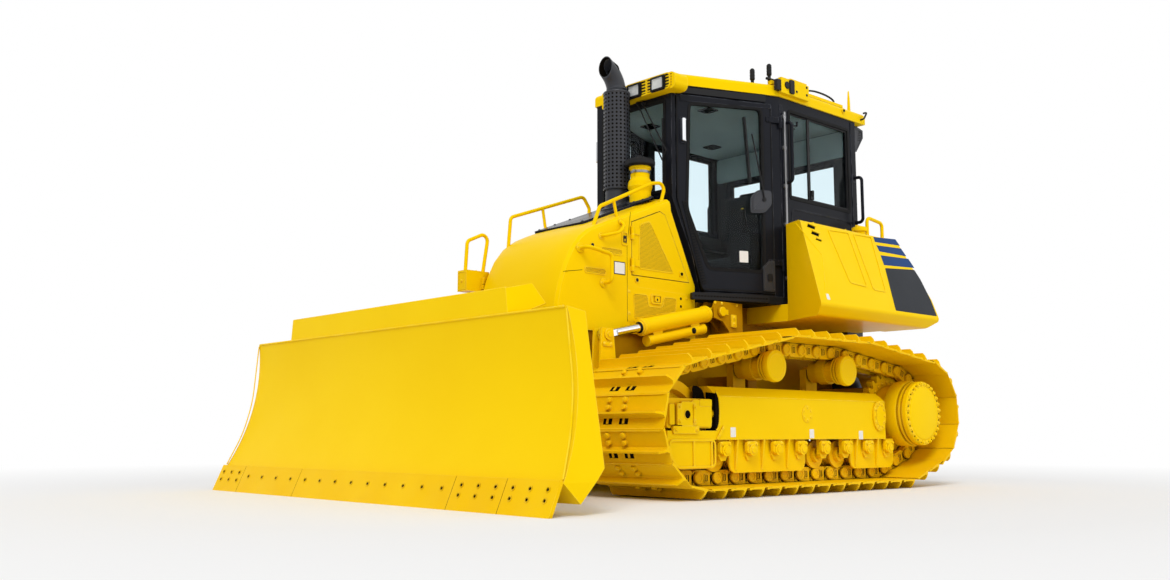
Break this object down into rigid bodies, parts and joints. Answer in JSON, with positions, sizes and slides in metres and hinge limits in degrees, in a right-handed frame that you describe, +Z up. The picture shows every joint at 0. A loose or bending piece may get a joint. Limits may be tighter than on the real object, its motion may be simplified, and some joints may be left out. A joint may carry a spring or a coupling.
{
  "type": "crawler bulldozer",
  "caption": "Low ground pressure crawler bulldozer with a six-way blade, glazed cab and fixed track loops.",
  "frame": {"origin": "centre of the machine's box, on the ground", "axes": "-Y forwards to the blade, +X to the machine's left, +Z up"},
  "size_m": [3.86, 4.99, 3.5],
  "materials": {
    "yellow": "gloss",
    "dark": "satin",
    "frame_grey": "satin",
    "cast_yellow": "satin",
    "chrome_rod": "polished",
    "window": "clear",
    "cushion": "matte",
    "trim": "matte",
    "lamp": "clear"
  },
  "bodies": {
    "machine": {"main_frame": "yellow", "engine_block": "frame_grey", "drawbar": "yellow", "hood": "yellow", "hood_top": "dark", "hood_rails": "yellow", "grab_handles": "yellow", "exhaust_stack": "dark", "precleaner": "yellow", "precleaner_cap": "dark", "cab_frame": "dark", "cab_glass": "window", "cab_roof": "yellow", "cab_floor": "dark", "seat": "cushion", "consoles": "trim", "roof_lamps": "lamp", "roof_box": "yellow", "roof_antennas": "dark", "rear_box": "dark", "cab_handles": "dark", "tank_left": "yellow", "tank_right": "yellow", "tank_fittings": "yellow", "radiator_housing": "dark", "track_left": "cast_yellow", "track_right": "cast_yellow", "track_frame_left": "cast_yellow", "track_frame_right": "cast_yellow", "rollers_left": "cast_yellow", "rollers_right": "cast_yellow", "idler_left": "cast_yellow", "idler_right": "cast_yellow", "sprocket_left": "cast_yellow", "sprocket_right": "cast_yellow"},
    "push_frame": {"c_frame": "yellow"},
    "yoke": {"blade_yoke": "yellow"},
    "blade": {"blade": "yellow", "cutting_edge": "yellow", "spill_guard": "yellow"},
    "tilt_barrel": {"tilt_barrel": "yellow"},
    "tilt_rod": {"tilt_rod": "chrome_rod"},
    "lift_barrel_left": {"lift_barrel_left": "yellow"},
    "lift_rod_left": {"lift_rod_left": "chrome_rod"},
    "angle_barrel_left": {"angle_barrel_left": "yellow"},
    "angle_rod_left": {"angle_rod_left": "chrome_rod"},
    "cab_door_left": {"cab_door_left": "dark", "door_glass_left": "window"},
    "engine_door_left": {"engine_door_left": "yellow"},
    "lift_barrel_right": {"lift_barrel_right": "yellow"},
    "lift_rod_right": {"lift_rod_right": "chrome_rod"},
    "angle_barrel_right": {"angle_barrel_right": "yellow"},
    "angle_rod_right": {"angle_rod_right": "chrome_rod"},
    "cab_door_right": {"cab_door_right": "dark", "door_glass_right": "window"},
    "engine_door_right": {"engine_door_right": "yellow"},
    "rear_grille": {"rear_grille": "dark"},
    "fan": {"fan": "frame_grey"}
  },
  "joints": [
    {"name": "blade_lift", "type": "hinge", "parent": "machine", "child": "push_frame", "pos_m": [0, 0.755, 0.5], "axis": [-1, 0, 0], "range_deg": [-10.3, 18]},
    {"name": "blade_angle", "type": "hinge", "parent": "push_frame", "child": "yoke", "pos_m": [0, -1.845, 0.47], "axis": [0, 0, 1], "range_deg": [-25, 25]},
    {"name": "blade_tilt", "type": "hinge", "parent": "yoke", "child": "blade", "pos_m": [0, -1.995, 0.47], "axis": [0, 1, 0], "range_deg": [-6.4, 6.4]},
    {"name": "tilt_barrel_pin", "type": "hinge", "parent": "yoke", "child": "tilt_barrel", "pos_m": [0, -1.925, 0.9], "axis": [0, 1, 0], "range_deg": [-6.6, 6.6]},
    {"name": "tilt_rod_slide", "type": "slide", "parent": "tilt_barrel", "child": "tilt_rod", "axis": [-1, 0, 0], "range_m": [-0.05, 0.05]},
    {"name": "lift_barrel_pin_left", "type": "hinge", "parent": "machine", "child": "lift_barrel_left", "pos_m": [0.572, 0.393, 1.36], "axis": [-1, 0, 0], "range_deg": [-12.8, 22.3]},
    {"name": "lift_rod_slide_left", "type": "slide", "parent": "lift_barrel_left", "child": "lift_rod_left", "axis": [0, -0.9791, -0.2032], "range_m": [-0.285, 0.165]},
    {"name": "angle_barrel_pin_left", "type": "hinge", "parent": "push_frame", "child": "angle_barrel_left", "pos_m": [0.52, -0.695, 0.72], "axis": [0, 0, 1], "range_deg": [-2.6, 2.6]},
    {"name": "angle_rod_slide_left", "type": "slide", "parent": "angle_barrel_left", "child": "angle_rod_left", "axis": [0.0209, -0.9998, 0], "range_m": [-0.232, 0.232]},
    {"name": "cab_door_hinge_left", "type": "hinge", "parent": "machine", "child": "cab_door_left", "pos_m": [0.81475, 0.95879, 2.3], "axis": [0, 0, 1], "range_deg": [0, 80]},
    {"name": "engine_door_hinge_left", "type": "hinge", "parent": "machine", "child": "engine_door_left", "pos_m": [0.476, -0.416, 1.85], "axis": [0, 0, -1], "range_deg": [0, 90]},
    {"name": "lift_barrel_pin_right", "type": "hinge", "parent": "machine", "child": "lift_barrel_right", "pos_m": [-0.572, 0.393, 1.36], "axis": [-1, 0, 0], "range_deg": [-12.8, 22.3]},
    {"name": "lift_rod_slide_right", "type": "slide", "parent": "lift_barrel_right", "child": "lift_rod_right", "axis": [0, -0.9791, -0.2032], "range_m": [-0.285, 0.165]},
    {"name": "angle_barrel_pin_right", "type": "hinge", "parent": "push_frame", "child": "angle_barrel_right", "pos_m": [-0.52, -0.695, 0.72], "axis": [0, 0, 1], "range_deg": [-2.6, 2.6]},
    {"name": "angle_rod_slide_right", "type": "slide", "parent": "angle_barrel_right", "child": "angle_rod_right", "axis": [-0.0209, -0.9998, 0], "range_m": [-0.232, 0.232]},
    {"name": "cab_door_hinge_right", "type": "hinge", "parent": "machine", "child": "cab_door_right", "pos_m": [-0.81475, 0.95879, 2.3], "axis": [0, 0, -1], "range_deg": [0, 80]},
    {"name": "engine_door_hinge_right", "type": "hinge", "parent": "machine", "child": "engine_door_right", "pos_m": [-0.476, -0.416, 1.85], "axis": [0, 0, 1], "range_deg": [0, 90]},
    {"name": "rear_grille_hinge", "type": "hinge", "parent": "machine", "child": "rear_grille", "pos_m": [0.565, 2.381, 1.72], "axis": [0, 0, -1], "range_deg": [0, 100]},
    {"name": "fan_spin", "type": "hinge", "parent": "machine", "child": "fan", "pos_m": [0, 2.245, 1.7375], "axis": [0, 1, 0], "continuous": true}
  ],
  "couplings": [
    {"joint": "tilt_barrel_pin", "follows": "blade_tilt", "ratio": 1},
    {"joint": "tilt_rod_slide", "follows": "blade_tilt", "m_per_rad": -0.429},
    {"joint": "lift_barrel_pin_left", "follows": "blade_lift", "ratio": 1.23},
    {"joint": "lift_rod_slide_left", "follows": "blade_lift", "m_per_rad": -0.8766},
    {"joint": "angle_barrel_pin_left", "follows": "blade_angle", "ratio": 0.1},
    {"joint": "angle_rod_slide_left", "follows": "blade_angle", "m_per_rad": -0.525},
    {"joint": "lift_barrel_pin_right", "follows": "blade_lift", "ratio": 1.23},
    {"joint": "lift_rod_slide_right", "follows": "blade_lift", "m_per_rad": -0.8766},
    {"joint": "angle_barrel_pin_right", "follows": "blade_angle", "ratio": 0.1},
    {"joint": "angle_rod_slide_right", "follows": "blade_angle", "m_per_rad": 0.525}
  ]
}
